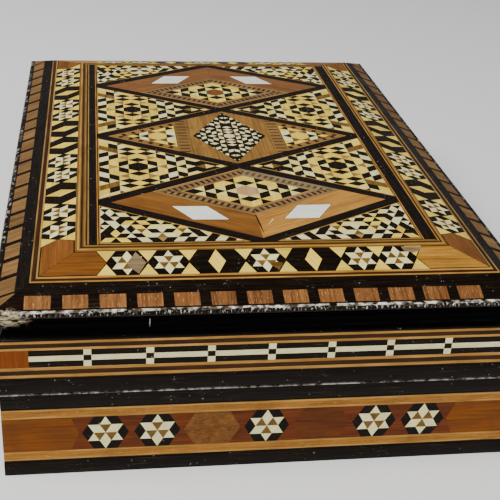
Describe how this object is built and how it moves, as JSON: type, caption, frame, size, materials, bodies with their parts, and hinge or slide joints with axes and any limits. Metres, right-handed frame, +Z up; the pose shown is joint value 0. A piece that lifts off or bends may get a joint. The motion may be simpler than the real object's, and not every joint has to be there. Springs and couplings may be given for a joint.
{
  "type": "inlaid cigarette box",
  "caption": "Low rectangular wooden box with a lift-off lid, covered on every side and on top with geometric marquetry of stars, blocks and diamonds.",
  "frame": {"origin": "middle of the underside, where the box stands", "axes": "+Z up, +Y along the box's length from the front to the back, +X to the right seen from the front"},
  "size_m": [0.1, 0.14, 0.0402],
  "materials": {
    "black_wood": "black stained wood, worn satin polish",
    "dark_lining": "dark brown bare boards",
    "inlay_wood": "reddish brown ground with pale and black six-pointed stars",
    "line_inlay": "black wood with pale and black lines and string inlay",
    "edge_wood": "brown blocks set in black wood, satin",
    "star_marquetry": "stars of yellow, white and black pieces between string lines",
    "fine_marquetry": "fine mosaic of black, bone white and yellow pieces",
    "brown_wood": "orange brown veneer with grain and fine scratches",
    "pearl": "smooth white shell with a faint play of colour"
  },
  "bodies": {
    "root": {"bevel_band_back": "star_marquetry", "bevel_band_front": "star_marquetry", "bevel_band_left": "star_marquetry", "bevel_band_right": "star_marquetry", "body_star_band_back": "inlay_wood", "body_star_band_front": "inlay_wood", "body_star_band_left": "inlay_wood", "body_star_band_right": "inlay_wood", "body_wall_back": "black_wood", "body_wall_front": "black_wood", "body_wall_left": "black_wood", "body_wall_right": "black_wood", "bottom_board": "dark_lining", "chevron_back": "brown_wood", "chevron_front": "brown_wood", "corner_field_back_left": "fine_marquetry", "corner_field_back_right": "fine_marquetry", "corner_field_front_left": "fine_marquetry", "corner_field_front_right": "fine_marquetry", "diamond_strip_1": "black_wood", "diamond_strip_10": "black_wood", "diamond_strip_11": "black_wood", "diamond_strip_12": "black_wood", "diamond_strip_2": "black_wood", "diamond_strip_3": "black_wood", "diamond_strip_4": "black_wood", "diamond_strip_5": "black_wood", "diamond_strip_6": "black_wood", "diamond_strip_7": "black_wood", "diamond_strip_8": "black_wood", "diamond_strip_9": "black_wood", "edge_moulding_back": "edge_wood", "edge_moulding_front": "edge_wood", "edge_moulding_left": "edge_wood", "edge_moulding_right": "edge_wood", "end_triangle_left": "fine_marquetry", "end_triangle_right": "fine_marquetry", "lid_board": "dark_lining", "lid_line_band_back": "line_inlay", "lid_line_band_front": "line_inlay", "lid_line_band_left": "line_inlay", "lid_line_band_right": "line_inlay", "lid_wall_back": "black_wood", "lid_wall_front": "black_wood", "lid_wall_left": "black_wood", "lid_wall_right": "black_wood", "lozenge_back": "fine_marquetry", "lozenge_front": "fine_marquetry", "middle_diamond": "brown_wood", "middle_rhombus": "fine_marquetry", "panel_stripe_left": "black_wood", "panel_stripe_right": "black_wood", "pearl_back_left": "pearl", "pearl_back_right": "pearl", "pearl_front_left": "pearl", "pearl_front_right": "pearl", "side_field_left_1": "fine_marquetry", "side_field_left_2": "fine_marquetry", "side_field_right_1": "fine_marquetry", "side_field_right_2": "fine_marquetry"}
  },
  "joints": []
}
